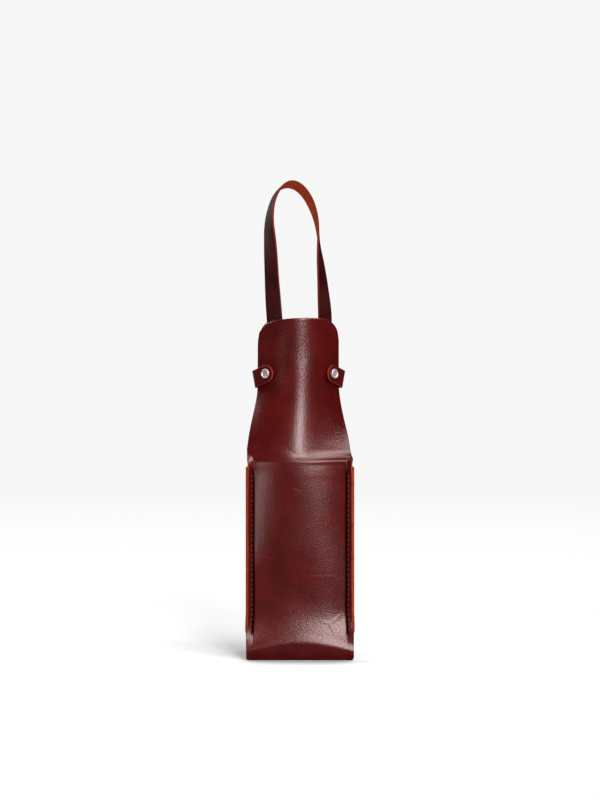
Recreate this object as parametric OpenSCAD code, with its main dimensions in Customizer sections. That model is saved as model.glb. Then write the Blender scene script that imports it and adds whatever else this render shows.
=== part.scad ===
// Leather bottle carrier: one long strip makes both flaps, both panels and the base.
// Two gussets are sewn in at the sides, two tabs with press studs close the neck,
// and a strap handle rises from the inside of the back panel.
// The front faces -Y, and the carrier stands on z = 0.

/* [Leather] */
// Thickness of the leather
leather_t = 2; // [1.6:0.1:2.4]
// Width of the strip at the base
strip_w = 106; // [100:1:112]
// Width of the strip's panels, laid flat
panel_w = 107.5; // [101:0.5:113]
// Depth of the base, front to back
pouch_d = 80; // [76:1:86]
// Outer radius of the folds along the base
fold_r = 3; // [2.8:0.1:4]

/* [Pouch] */
// Height of the shoulder crease above the base
shoulder_z = 196; // [186:1:206]
// Height at which the side seams begin
seam_low_z = 25; // [22:1:32]
// Height at which the gussets end
gusset_top_z = 191; // [180:1:192]
// Height of the flat band above the base
flat_band_z = 10; // [8:1:14]
// Height at which the belly is fully round
belly_z = 50; // [44:1:60]
// How far the belly stands in front of the base
belly_out = 1.5; // [0:0.5:3]
// Half the angle that the belly turns through
belly_angle = 24; // [18:1:28]
// Width of the seam margin outside the fold line
seam_margin = 6; // [5:0.5:7]
// How far the seam margins turn forwards
seam_turn = 38; // [28:1:44]
// Gap that the glue line leaves in a seam
glue_gap = 0.4; // [0.3:0.05:0.5]
// How far a gusset bows inwards
gusset_bow = 3; // [0:0.5:6]
// Length of the gusset's foot on the base
foot_l = 20; // [14:1:26]

/* [Neck] */
// Height of the flaps
flap_top_z = 339; // [330:1:350]
// Height at which the neck is fully closed
neck_z = 276; // [270:1:278]
// Width of a flap, laid flat
neck_w = 98.5; // [96:0.5:103]
// Depth of the closed neck, front to back
neck_d = 55; // [52:1:58]
// Half the angle that a flap turns through round the neck
neck_angle = 54; // [50:1:58]
// How far the soft neck has turned against the pouch
neck_turn = 5; // [0:1:8]
// How far the neck has moved to the left
neck_shift = 1.8; // [0:0.2:3]
// Radius of the flap's upper corners
flap_corner_r = 15; // [10:1:20]
// How far the middle of the flap's top edge rises
flap_arch = 2; // [0:0.5:4]

/* [Tabs] */
// Width of a tab
tab_w = 16.5; // [14:0.5:18]
// Distance from the tab's fold to its press stud
tab_reach = 17; // [16.5:0.5:18]
// Radius of the tab's round end
tab_end_r = 8.5; // [8.5:0.5:9.5]
// Slope of the tabs towards the middle
tab_rise = 19; // [12:1:22]
// Height of the press studs
stud_z = 283.5; // [278:0.5:290]
// Where the stud sits on the curve of the neck
stud_angle = 42.5; // [40:0.5:45]

/* [Press studs] */
// Diameter of the cap and of the flanges
snap_d = 9.8; // [8:0.2:10]
// Height of the cap
cap_h = 1.4; // [1:0.1:2]
// Height of the socket
socket_h = 2.5; // [2.2:0.1:3]
// Thickness of a flange
flange_t = 0.75; // [0.5:0.05:0.9]
// Diameter of the knob
knob_d = 3.8; // [3:0.1:4.2]
// Height of the knob
knob_h = 1.9; // [1.5:0.1:2.1]
// Diameter of the tubular posts
snap_post_d = 2.6; // [2:0.1:3]

/* [Handle] */
// Width of the strap
strap_w = 17; // [14:1:20]
// Thickness of the strap
strap_t = 2; // [1.6:0.1:2.4]
// Distance between the two legs at the swing line
leg_span = 52; // [50:1:56]
// Height of the crown of the loop
handle_top_z = 480; // [460:1:500]
// Height of the arch above the straight legs
arch_h = 50; // [40:1:60]
// How far the loop leans back at its crown
loop_back = 21; // [10:1:26]
// How far the loop leans to the left at its crown
loop_side = 9; // [0:1:12]
// Further turn of the loop against the neck
loop_turn = 10; // [0:1:14]
// Height of the line that the handle swings about
swing_z = 350; // [348:1:356]
// How far that line lies behind the middle
swing_y = 0; // [-2:0.5:3]
// How far that line lies to the right of the neck's middle
swing_x = 1; // [0:0.5:2]
// Turn of that line against the pouch
swing_turn = 8; // [4:1:10]

/* [Rivets] */
// Height of the middle of each pair of rivets
rivet_z = 236; // [230:1:240]
// Distance between the two pairs of rivets
rivet_span = 43; // [40:1:46]
// Distance between the two rivets of a leg
rivet_pitch = 16; // [14:1:18]
// Diameter of the rivet heads
rivet_head_d = 8; // [6:0.5:9]
// Height of the rivet heads
rivet_head_h = 1.5; // [1:0.1:2]
// Diameter of the rivet posts
rivet_post_d = 3; // [2.5:0.1:3.5]

/* [Stitching] */
// Distance from one stitch to the next
stitch_pitch = 4.9; // [4:0.1:6]
// Length of a stitch that shows
stitch_l = 3.7; // [3:0.1:4]
// Thickness of the thread
thread_d = 0.8; // [0.6:0.1:1]
// Distance of the stitches from the fold of the seam
stitch_in = 1.6; // [1.4:0.1:2]

/* [Hidden] */

front = -1;
back = 1;
half_turn = 180;
quarter_turn = 90;
// Clearance between curved leather faces, and between metal and leather
skin_gap = 0.3;
metal_gap = 0.05;
// Clearance round the press stud's knob, which lifts out on an arc
knob_gap = 0.45;
// Overrun of every cut
cut = 1;
// Smallest angle and smallest share of a path
least = 0.01;
// Height at which the flaps' rows start to follow the rounded top edge
level_z = stud_z + tab_w;
// The seam margins turn back into the flaps over this height
seam_fade = 16;
// Rows along the strip, as shares of its parts: below the seams, along them, above them,
// up the neck, and in the rounded top
low_shares = [0, 0.35, 0.7];
seam_shares = [0, 0.05, 0.11, 0.18, 0.28, 0.42, 0.56, 0.7, 0.82, 0.9, 0.93, 0.96, 0.98, 1];
high_shares = [0.5, 1];
neck_row_shares = [0.05, 0.13, 0.24, 0.36, 0.48, 0.6, 0.66, 0.71, 0.76, 0.82, 0.9, 1];
top_row_shares = [0.3, 0.6, 0.85, 1];
// Columns across half the strip, as shares of its core and of its margin
core_shares = [0, 0.14, 0.28, 0.42, 0.56, 0.7, 0.82, 0.92, 1];
margin_shares = [0.45, 0.8, 1];
// Points across half a gusset's wall
wall_shares = [0.2, 0.5];

// Easing and vectors
function smooth(t) = let (c = max(0, min(1, t))) c * c * (3 - 2 * c);
function mix(a, b, t) = a + (b - a) * t;
function unit(v) = v / norm(v);
function turned(p, a) = [p.x * cos(a) - p.y * sin(a), p.x * sin(a) + p.y * cos(a), p.z];
function square_to(v, t) = unit(v - t * (v * t));

// Shape of the strip at height z
function neck_share(z) = (z - shoulder_z) / (neck_z - shoulder_z);
function belly_share(z) = smooth((z - flat_band_z) / (belly_z - flat_band_z));
function core_angle(z) = z < shoulder_z ?
    max(least, belly_angle * belly_share(z)) :
    mix(belly_angle, neck_angle, smooth(neck_share(z)));
function margin_angle(z) =
    mix(seam_turn * belly_share(z), -core_angle(z), smooth((z - gusset_top_z) / seam_fade));
function flat_half(z) = mix(mix(strip_w, panel_w, belly_share(z)), neck_w, smooth(neck_share(z))) / 2;
function core_half(z) = flat_half(z) - seam_margin;
function core_r(z) = core_half(z) * half_turn / (PI * core_angle(z));
function ridge_y(z) = z < shoulder_z ?
    pouch_d / 2 + belly_out * belly_share(z) * smooth((shoulder_z - z) / seam_fade) :
    let (t = min(1, neck_share(z))) mix(pouch_d, neck_d, 1 - (1 - t) * (1 - t)) / 2;
function moved(p, share) = turned(p, neck_turn * share) - [neck_shift * share, 0, 0];

// A point of the cross-section: u runs across the strip, and the depth runs into the leather
function groove(z) = [core_r(z) * sin(core_angle(z)), core_r(z) * (1 - cos(core_angle(z)))];
function margin_dir(z) = [cos(margin_angle(z)), -sin(margin_angle(z))];
function margin_in(z) = [sin(margin_angle(z)), cos(margin_angle(z))];
function mitre(z, depth) = let (
    a = core_angle(z),
    m = unit([-sin(a), cos(a)] + margin_in(z)))
    groove(z) + m * depth / cos((a + margin_angle(z)) / 2);
function half_section(z, u, depth) = let (c = core_half(z), r = core_r(z)) u < c ?
    let (a = core_angle(z) * u / c) [(r - depth) * sin(a), r - (r - depth) * cos(a)] :
    (u == c ? mitre(z, depth) : groove(z) + margin_dir(z) * (u - c) + margin_in(z) * depth);
function section(z, u, depth) = let (p = half_section(z, abs(u), depth)) [u < 0 ? -p.x : p.x, p.y];
function panel_point(side, z, u, depth) = let (p = section(z, u, depth))
    moved([p.x, side * (ridge_y(z) - p.y), z], smooth(neck_share(z)));

// The rounded top edge of a flap, and the columns across the strip
function top_z(u) = let (
    share = abs(u) / (neck_w / 2),
    over = max(0, abs(u) - neck_w / 2 + flap_corner_r))
    flap_top_z - flap_arch * share * share
    - flap_corner_r + sqrt(max(0, flap_corner_r * flap_corner_r - over * over));
function column_u(z, k) = let (c = core_half(z), n = len(core_shares)) abs(k) < n ?
    sign(k) * c * core_shares[abs(k)] :
    sign(k) * (c + seam_margin * margin_shares[abs(k) - n]);
last_column = len(core_shares) + len(margin_shares) - 1;
columns = [-last_column : last_column];

// Rows of the strip, from the top of the front flap round the base to the top of the back flap
seam_rows = concat(
    [for (s = low_shares) mix(fold_r, seam_low_z, s)],
    [for (s = seam_shares) mix(seam_low_z, gusset_top_z, s)]);
panel_rows = concat(
    [for (z = seam_rows) [z, 0]],
    [for (s = high_shares) [mix(gusset_top_z, shoulder_z, s), 0]],
    [for (s = neck_row_shares) [mix(shoulder_z, level_z, s), 0]],
    [for (s = top_row_shares) [level_z, s]]);
fold_steps = 3;
function panel_row(side, row, depth) = [for (k = columns)
    let (u = column_u(row[0], k), z = row[0] + row[1] * (top_z(u) - row[0]))
    panel_point(side, z, u, depth)];
function fold_row(side, a, depth) = let (flat = pouch_d / 2 - fold_r, r = fold_r - depth)
    [for (k = columns) [panel_point(side, fold_r, column_u(fold_r, k), 0).x, side * (flat + r * cos(a)), fold_r - r * sin(a)]];
function strip_rows(depth) = concat(
    [for (k = [len(panel_rows) - 1 : -1 : 0]) panel_row(front, panel_rows[k], depth)],
    [for (k = [1 : fold_steps]) fold_row(front, quarter_turn * k / fold_steps, depth)],
    [for (k = [fold_steps : -1 : 1]) fold_row(back, quarter_turn * k / fold_steps, depth)],
    [for (k = [0 : len(panel_rows) - 1]) panel_row(back, panel_rows[k], depth)]);

// A closed sheet between two grids of points
module sheet(outer, inner) {
    rows = len(outer);
    cols = len(outer[0]);
    far = rows * cols;
    points = concat([for (r = outer) each r], [for (r = inner) each r]);
    function at(i, j) = i * cols + j;
    faces = concat(
        [for (i = [0 : rows - 2], j = [0 : cols - 2]) each
            [[at(i, j), at(i, j + 1), at(i + 1, j + 1)], [at(i, j), at(i + 1, j + 1), at(i + 1, j)]]],
        [for (i = [0 : rows - 2], j = [0 : cols - 2]) each
            [[far + at(i, j), far + at(i + 1, j + 1), far + at(i, j + 1)],
             [far + at(i, j), far + at(i + 1, j), far + at(i + 1, j + 1)]]],
        [for (i = [0 : rows - 2]) each let (a = at(i, 0), b = at(i + 1, 0))
            [[a, b, far + b], [a, far + b, far + a]]],
        [for (i = [0 : rows - 2]) each let (a = at(i, cols - 1), b = at(i + 1, cols - 1))
            [[a, far + b, b], [a, far + a, far + b]]],
        [for (j = [0 : cols - 2]) each let (a = at(0, j), b = at(0, j + 1))
            [[a, far + b, b], [a, far + a, far + b]]],
        [for (j = [0 : cols - 2]) each let (a = at(rows - 1, j), b = at(rows - 1, j + 1))
            [[a, b, far + b], [a, far + b, far + a]]]);
    polyhedron(points, faces);
}

// A closed tube through rings of points
module tube(rings) {
    n = len(rings[0]);
    last = len(rings) - 1;
    faces = concat(
        [for (i = [0 : last - 1], j = [0 : n - 1]) let (k = (j + 1) % n) each
            [[i * n + j, i * n + k, (i + 1) * n + k], [i * n + j, (i + 1) * n + k, (i + 1) * n + j]]],
        [for (j = [1 : n - 2]) [0, j + 1, j]],
        [for (j = [1 : n - 2]) [last * n, last * n + j, last * n + j + 1]]);
    polyhedron([for (r = rings) each r], faces);
}

// The neck's own frame, and a tab's frame: X to its fold, Y up along the fold, Z out
neck_r = core_r(neck_z);
stand_off = metal_gap + flange_t + metal_gap * 2 + socket_h + leather_t / 2;
stud_out = [sin(stud_angle), -cos(stud_angle), 0];
stud_seat = [neck_r * sin(stud_angle), neck_r * (1 - cos(stud_angle)) - neck_d / 2, stud_z];
tab_place = stud_seat + stud_out * stand_off;
tab_along = [cos(stud_angle) * cos(tab_rise), sin(stud_angle) * cos(tab_rise), -sin(tab_rise)];
tab_up = [cos(stud_angle) * sin(tab_rise), sin(stud_angle) * sin(tab_rise), cos(tab_rise)];
function tab_point(x, y, z) = tab_place + tab_along * x + tab_up * y + stud_out * z;
module neck_frame(side) {
    translate([-neck_shift, 0, 0]) rotate([0, 0, neck_turn])
        if (side < 0) mirror([1, 0, 0]) children();
        else children();
}
module tab_frame(side) {
    neck_frame(side)
        translate(tab_place) rotate([quarter_turn, 0, stud_angle]) rotate([0, 0, -tab_rise]) children();
}

// The ear, up to the tab's fold: on the real carrier it is cut in one with the back flap and the tab
ear_seat = 0.3;
ear_away = leather_t / 2 + skin_gap;
function on_side(p, side) = moved([side * p.x, p.y, p.z], 1);
module ear(side) {
    fold = tab_point(tab_reach, 0, 0);
    edge = section(neck_z, neck_w / 2, leather_t / 2);
    towards = square_to([edge.x, neck_d / 2 - edge.y, fold.z] - fold, tab_up);
    across = unit(cross(tab_up, towards));
    low = fold.z - tab_w / 2;
    high = fold.z + tab_w / 2;
    starts = [for (q = [[low, 0], [low, leather_t], [high, leather_t], [high, 0]])
        panel_point(back, q[0], side * (flat_half(q[0]) + ear_seat), q[1])];
    ends = [for (q = [[-1, -1], [-1, 1], [1, 1], [1, -1]])
        on_side(fold + towards * ear_away + tab_up * q[0] * tab_w / 2 + across * q[1] * leather_t / 2, side)];
    if (side < 0) tube([ends, starts]);
    else tube([starts, ends]);
}

// The outward normal of the back panel, and a frame on it: Z out, Y up the panel
function panel_normal(side, z, u) = let (
    p = panel_point(side, z, u, 0),
    across = panel_point(side, z, u + cut, 0) - p,
    up = panel_point(side, z + cut, u, 0) - p,
    n = unit(cross(across, up)))
    n.y * side > 0 ? n : -n;
module facing(place, out, up) {
    y = square_to(up, out);
    x = cross(y, out);
    multmatrix([[x.x, y.x, out.x, place.x], [x.y, y.y, out.y, place.y], [x.z, y.z, out.z, place.z], [0, 0, 0, 1]])
        children();
}

// Strap ends: a flat plate on the inside of the back panel
plate_sag = strap_w * strap_w / 8 / (core_r(rivet_z) - leather_t);
plate_off = strap_t / 2 + plate_sag + 2 * skin_gap;
plate_h = rivet_pitch + 2 * rivet_head_d;
function rivet_u(side) = side * rivet_span / 2 * core_half(rivet_z) / groove(rivet_z).x;
function rivet_out(side) = panel_normal(back, rivet_z, rivet_u(side));
function rivet_seat(side) = panel_point(back, rivet_z, rivet_u(side), leather_t);
function rivet_up(side) = square_to([0, 0, 1], rivet_out(side));
module rivet_frame(side) {
    facing(rivet_seat(side), rivet_out(side), [0, 0, 1]) children();
}

// Centre line and twist of the free strap, above the plates
loop_lean = atan(2 * loop_back / (handle_top_z - swing_z));
loop_h = handle_top_z - swing_z - strap_w / 2 * sin(loop_lean);
swing_place = moved([swing_x, swing_y, swing_z], 1);
leg_h = loop_h - arch_h;
leg_steps = 6;
arch_steps = 24;
free_steps = 8;
// Twist of the strap, as shares of the loop's height and of a quarter turn:
// untwisted it faces forwards, and after a quarter turn it faces out of the loop
twist_shares = [[0, 0.4], [0.4, 0.64], [0.62, 0.83], [0.84, 1], [2, 1]];
function twist_at(h) = quarter_turn * lookup(h / loop_h, twist_shares);
function spine(h) = let (t = h / loop_h)
    swing_place + [-loop_side * t, loop_back * t * t, h];
function loop_yaw(h) = swing_turn + loop_turn * smooth(h / leg_h);
function loop_at(x, h) = spine(h) + turned([x, 0, 0], loop_yaw(h));
function arch_at(a) = loop_at(-leg_span / 2 * cos(a), leg_h + arch_h * sin(a));
function leg_at(side, h) = loop_at(side * leg_span / 2, h);
// From the plate's upper edge to the swing line
function free_at(side, t) = let (
    p0 = rivet_seat(side) - rivet_out(side) * plate_off + rivet_up(side) * plate_h / 2,
    p1 = leg_at(side, 0),
    reach = norm(p1 - p0),
    d0 = rivet_up(side) * reach,
    d1 = (leg_at(side, cut) - leg_at(side, 0)) * reach / cut,
    a = t * t * (2 * t - 3) + 1, b = t * (1 - t) * (1 - t), c = t * t * (3 - 2 * t), d = t * t * (t - 1))
    p0 * a + d0 * b + p1 * c + d1 * d;
function free_out(side, t) = mixed_out(side, smooth(t), t);
function mixed_out(side, w, t) = let (
    grain0 = -rivet_out(side),
    grain1 = strap_out(side, 0, leg_at(side, cut) - leg_at(side, 0)),
    dir = unit(free_at(side, t + least) - free_at(side, t - least)))
    square_to(grain0 * (1 - w) + grain1 * w, dir);
function strap_out(side, h, along) = let (
    t = unit(along),
    twist = twist_at(h),
    ahead = square_to(turned([0, -1, 0], loop_yaw(h)), t),
    aside = unit(cross(ahead, t)) * (cross(ahead, t) * turned([side, 0, 0], loop_yaw(h)) > 0 ? 1 : -1))
    ahead * cos(twist) + aside * sin(twist);
function arch_out(a) = let (
    t = unit(arch_at(a + cut) - arch_at(a - cut)),
    h = leg_h + arch_h * sin(a),
    twist = twist_at(h),
    away = arch_at(a) - spine(leg_h),
    ahead0 = turned([0, -1, 0], loop_yaw(h)),
    radial = square_to(away, t),
    ahead = square_to(ahead0 - radial * (ahead0 * radial), t))
    unit(ahead * cos(twist) + radial * sin(twist));
function strap_ring(p, out, along) = let (
    t = unit(along),
    n = square_to(out, t),
    w = cross(t, n) * strap_w / 2,
    d = n * strap_t / 2)
    [p + w + d, p - w + d, p - w - d, p + w - d];

// Rings from the left plate over the loop to the right plate
function free_rings(side) = [for (k = [0 : free_steps]) let (t = k / free_steps)
    [free_at(side, t), free_out(side, t), free_at(side, t + least) - free_at(side, t - least)]];
function leg_rings(side) = [for (k = [1 : leg_steps]) let (h = leg_h * k / leg_steps)
    [leg_at(side, h), strap_out(side, h, leg_at(side, h + cut) - leg_at(side, h - cut)),
     leg_at(side, h + cut) - leg_at(side, h - cut)]];
function reversed(v) = [for (k = [len(v) - 1 : -1 : 0]) [v[k][0], v[k][1], -v[k][2]]];
function plate_end(side) =
    [rivet_seat(side) - rivet_out(side) * plate_off - rivet_up(side) * plate_h / 2, -rivet_out(side), rivet_up(side)];
strap_path = concat([plate_end(-1)], free_rings(-1), leg_rings(-1),
    [for (k = [1 : arch_steps - 1]) let (a = half_turn * k / arch_steps)
        [arch_at(a), arch_out(a), arch_at(a + cut) - arch_at(a - cut)]],
    reversed(leg_rings(1)), reversed(free_rings(1)), reversed([plate_end(1)]));
module whole_strap() {
    tube([for (r = strap_path) strap_ring(r[0], r[1], r[2])]);
}

// The handle swings in a cylinder about its line, and nothing fixed enters that
swing_r = strap_w / 2;
module swing_space(extra) {
    translate(swing_place) rotate([0, 0, swing_turn]) rotate([0, quarter_turn, 0])
        cylinder(h = strip_w, r = swing_r + extra, center = true, $fn = 64);
}
module below_swing() {
    translate([-strip_w, -pouch_d, 0]) cube([2 * strip_w, 2 * pouch_d, swing_z]);
}

// Sub-parts
module body_strip() {
    color([0.36, 0.08, 0.07]) difference() {
        sheet(strip_rows(0), strip_rows(leather_t));
        for (side = [-1, 1]) {
            tab_frame(side) translate([0, 0, -stand_off - leather_t])
                cylinder(h = 4 * leather_t, d = snap_post_d + 2 * metal_gap, center = true, $fn = 32);
            rivet_frame(side) for (s = [-1, 1]) translate([0, s * rivet_pitch / 2, 0])
                cylinder(h = 4 * leather_t, d = rivet_post_d + 2 * metal_gap, center = true, $fn = 32);
        }
    }
}

module left_ear() { color([0.36, 0.08, 0.07]) ear(-1); }
module right_ear() { color([0.36, 0.08, 0.07]) ear(1); }

// A gusset: its wall, its two margins that lie behind those of the strip, and its foot
gusset_low = leather_t + glue_gap;
function gusset_half(z) = let (
    near = leather_t + glue_gap,
    q = mitre(z, near),
    far_line = groove(z) + margin_in(z) * (near + leather_t),
    s = (q.x + leather_t - far_line.x) / cos(margin_angle(z)),
    root = far_line + margin_dir(z) * s,
    reach = z < seam_low_z ? s + glue_gap : seam_margin,
    start = groove(z) + margin_in(z) * near)
    [q, start + margin_dir(z) * reach, far_line + margin_dir(z) * reach, root];
function gusset_row(side, z, grain) = let (
    g = gusset_half(z),
    y = ridge_y(z),
    bow = gusset_bow * belly_share(z),
    root = grain ? g[3] : g[0],
    tip = grain ? g[2] : g[1],
    half = concat([[tip.x, tip.y - y], [root.x, root.y - y]],
        [for (k = wall_shares) [g[0].x + (grain ? leather_t : 0) - bow * 4 * k * (1 - k), mix(g[0].y - y, 0, 2 * k)]]),
    line = concat(half, [for (k = [len(half) - 2 : -1 : 0]) [half[k].x, -half[k].y]]))
    [for (p = line) [side * p.x, p.y, z]];
module gusset(side) {
    wall_x = mitre(fold_r, gusset_low).x;
    last = len(seam_rows) - 1;
    heights = [for (k = [0 : last]) seam_rows[side < 0 ? last - k : k]];
    foot_d = pouch_d - 2 * (fold_r + glue_gap);
    color([0.42, 0.1, 0.08]) {
        sheet([for (z = heights) gusset_row(side, z, false)], [for (z = heights) gusset_row(side, z, true)]);
        translate([side < 0 ? -wall_x - leather_t : wall_x - foot_l, -foot_d / 2, gusset_low])
            cube([foot_l + leather_t, foot_d, leather_t]);
    }
}
module left_gusset() { gusset(-1); }
module right_gusset() { gusset(1); }

// A tab from its fold to its round end, with the hole for the cap's post
module tab(side) {
    color([0.33, 0.06, 0.06]) tab_frame(side) difference() {
        union() {
            translate([tab_reach, 0, 0]) rotate([quarter_turn, 0, 0])
                cylinder(h = tab_w, d = leather_t, center = true, $fn = 32);
            translate([0, 0, -leather_t / 2]) linear_extrude(leather_t) union() {
                circle(r = tab_end_r, $fn = 64);
                polygon([[0, -tab_end_r], [tab_reach, -tab_w / 2], [tab_reach, tab_w / 2], [0, tab_end_r]]);
            }
        }
        cylinder(h = 2 * leather_t, d = snap_post_d + 2 * metal_gap, center = true, $fn = 32);
    }
}
module left_tab() { tab(-1); }
module right_tab() { tab(1); }

// The ringed cap and its post, which is rolled over in the socket
rim_share = 0.72;
dish_share = 0.35;
module snap_cap(side) {
    r = snap_d / 2;
    color([0.8, 0.79, 0.77]) tab_frame(side) translate([0, 0, leather_t / 2 + metal_gap]) {
        rotate_extrude($fn = 48) polygon([[0, 0], [r, 0], [r, cap_h / 2], [r * (1 + rim_share) / 2, cap_h],
            [r * rim_share, cap_h], [r * rim_share * rim_share, cap_h * dish_share],
            [0, cap_h * (dish_share + 1) / 2]]);
        translate([0, 0, -leather_t - metal_gap - flange_t / 2])
            cylinder(h = leather_t + 2 * metal_gap + flange_t / 2, d = snap_post_d, $fn = 32);
    }
}
module left_snap_cap() { snap_cap(-1); }
module right_snap_cap() { snap_cap(1); }

// The socket under the tab: a ring with a chamber for the knob
module snap_socket(side) {
    r = snap_d / 2;
    mouth = knob_d / 2 + knob_gap;
    neck = snap_post_d / 2 + metal_gap;
    color([0.74, 0.73, 0.7]) tab_frame(side) translate([0, 0, -leather_t / 2 - metal_gap])
        rotate([half_turn, 0, 0]) rotate_extrude($fn = 48) polygon([[neck, 0], [r, 0], [r, socket_h * rim_share],
            [r * rim_share, socket_h - metal_gap], [mouth, socket_h - metal_gap], [mouth, flange_t / 2 + metal_gap],
            [neck, flange_t / 2 + metal_gap]]);
}
module left_snap_socket() { snap_socket(-1); }
module right_snap_socket() { snap_socket(1); }

// The stud on the flap: a flange with a round knob, bored for the post's tube
module snap_stud(side) {
    r = snap_d / 2;
    k = knob_d / 2;
    bore = snap_post_d / 2 + metal_gap;
    color([0.78, 0.77, 0.74]) tab_frame(side) translate([0, 0, -stand_off + metal_gap])
        rotate_extrude($fn = 48) polygon([[bore, 0], [r, 0], [r, flange_t], [k, flange_t],
            [k, flange_t + knob_h * rim_share], [bore, flange_t + knob_h - metal_gap]]);
}
module left_snap_stud() { snap_stud(-1); }
module right_snap_stud() { snap_stud(1); }

// The post inside the flap: a flange with a tube that goes through the leather into the knob
module snap_post(side) {
    seat = leather_t + skin_gap + metal_gap;
    color([0.78, 0.77, 0.74]) tab_frame(side) translate([0, 0, -stand_off - seat - flange_t]) {
        cylinder(h = flange_t, d = snap_d, $fn = 48);
        cylinder(h = flange_t + seat + flange_t + knob_h / 2, d = snap_post_d, $fn = 32);
    }
}
module left_snap_post() { snap_post(-1); }
module right_snap_post() { snap_post(1); }

// A leg of the strap: its riveted plate and its way up to the swing line
module handle_leg(side) {
    color([0.28, 0.06, 0.06]) difference() {
        intersection() {
            whole_strap();
            below_swing();
            translate([side < 0 ? -strip_w : 0, -pouch_d, 0]) cube([strip_w, 2 * pouch_d, swing_z]);
        }
        swing_space(skin_gap);
        rivet_frame(side) for (s = [-1, 1]) translate([0, s * rivet_pitch / 2, -plate_off])
            cylinder(h = 2 * strap_t, d = rivet_post_d + 2 * metal_gap, center = true, $fn = 32);
    }
}
module handle_left_leg() { handle_leg(-1); }
module handle_right_leg() { handle_leg(1); }

module handle_loop() {
    color([0.28, 0.06, 0.06]) difference() {
        whole_strap();
        difference() {
            below_swing();
            swing_space(0);
        }
    }
}

// Rivets: a domed head with its post outside the back panel, and a domed cap inside on the strap
module dome(d, h) {
    r = d / 2;
    rotate_extrude($fn = 48) polygon([[0, 0], [r, 0], [r, h / 4],
        for (k = [1 : 3]) [r * cos(quarter_turn * k / 4), h / 4 + h * 3 / 4 * sin(quarter_turn * k / 4)], [0, h]]);
}
head_seat = skin_gap + 2 * metal_gap;
module rivet_heads(side) {
    stack = leather_t + plate_off + strap_t / 2;
    color([0.8, 0.79, 0.77]) rivet_frame(side) for (s = [-1, 1]) translate([0, s * rivet_pitch / 2, leather_t + head_seat]) {
        dome(rivet_head_d, rivet_head_h);
        translate([0, 0, -stack - head_seat]) cylinder(h = stack + head_seat, d = rivet_post_d, $fn = 32);
    }
}
module left_rivet_heads() { rivet_heads(-1); }
module right_rivet_heads() { rivet_heads(1); }
module rivet_caps(side) {
    color([0.8, 0.79, 0.77]) rivet_frame(side) for (s = [-1, 1])
        translate([0, s * rivet_pitch / 2, -plate_off - strap_t / 2 - metal_gap])
            rotate([half_turn, 0, 0]) dome(rivet_head_d, rivet_head_h);
}
module left_rivet_caps() { rivet_caps(-1); }
module right_rivet_caps() { rivet_caps(1); }

// Running stitches along a seam margin
module seam(side, face) {
    first = seam_low_z + stitch_pitch;
    count = floor((gusset_top_z - stitch_pitch - first) / stitch_pitch);
    color([0.25, 0.04, 0.05]) for (k = [0 : count]) {
        z = first + k * stitch_pitch;
        u = core_half(z) + stitch_in;
        a = panel_point(face, z - stitch_l / 2, side * u, -thread_d / 2 - skin_gap);
        b = panel_point(face, z + stitch_l / 2, side * u, -thread_d / 2 - skin_gap);
        facing(a, unit(b - a), [0, 1, 0]) cylinder(h = norm(b - a), d = thread_d, $fn = 16);
    }
}
module left_front_seam() { seam(-1, front); }
module right_front_seam() { seam(1, front); }
module left_back_seam() { seam(-1, back); }
module right_back_seam() { seam(1, back); }

body_strip();
left_gusset();
right_gusset();
left_ear();
right_ear();
left_tab();
right_tab();
left_snap_cap();
right_snap_cap();
left_snap_socket();
right_snap_socket();
left_snap_stud();
right_snap_stud();
left_snap_post();
right_snap_post();
handle_loop();
handle_left_leg();
handle_right_leg();
left_rivet_heads();
right_rivet_heads();
left_rivet_caps();
right_rivet_caps();
left_front_seam();
right_front_seam();
left_back_seam();
right_back_seam();
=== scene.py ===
import math
import bpy
import numpy as np
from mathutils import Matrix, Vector


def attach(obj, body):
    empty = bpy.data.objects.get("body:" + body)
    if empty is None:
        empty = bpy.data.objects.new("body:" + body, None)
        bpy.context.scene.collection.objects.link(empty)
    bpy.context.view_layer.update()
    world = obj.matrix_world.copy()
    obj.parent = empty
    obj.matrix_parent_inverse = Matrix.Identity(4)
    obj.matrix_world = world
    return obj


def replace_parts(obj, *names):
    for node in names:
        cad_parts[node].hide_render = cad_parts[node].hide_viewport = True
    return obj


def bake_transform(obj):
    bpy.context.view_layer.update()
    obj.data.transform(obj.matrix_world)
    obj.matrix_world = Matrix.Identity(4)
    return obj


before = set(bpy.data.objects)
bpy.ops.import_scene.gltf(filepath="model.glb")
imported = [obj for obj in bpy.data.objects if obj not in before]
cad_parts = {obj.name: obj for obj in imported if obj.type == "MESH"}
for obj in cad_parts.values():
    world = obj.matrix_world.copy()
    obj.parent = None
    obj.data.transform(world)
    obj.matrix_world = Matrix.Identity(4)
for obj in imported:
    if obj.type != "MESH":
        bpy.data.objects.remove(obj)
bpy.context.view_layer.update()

# Sizes, in millimetres and degrees as in the CAD
# the strip and the pouch
LEATHER, STRIP_W, PANEL_W, POUCH_D, FOLD_R = 2.0, 106.0, 107.5, 80.0, 3.0
SHOULDER, SEAM_LOW, GUSSET_TOP, FLAT_BAND = 196.0, 25.0, 191.0, 10.0
BELLY_Z, BELLY_OUT, BELLY_ANGLE, FADE = 50.0, 1.5, 24.0, 16.0
# the sewn margins and the gussets
MARGIN, SEAM_TURN, GLUE, BOW, FOOT = 6.0, 38.0, 0.4, 3.0, 20.0
# the flaps, closed round the neck
FLAP_TOP, NECK_Z, NECK_W, NECK_D, NECK_ANGLE = 339.0, 276.0, 98.5, 55.0, 54.0
NECK_TURN, NECK_SHIFT, ARCH = 5.0, 1.8, 2.0
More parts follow.
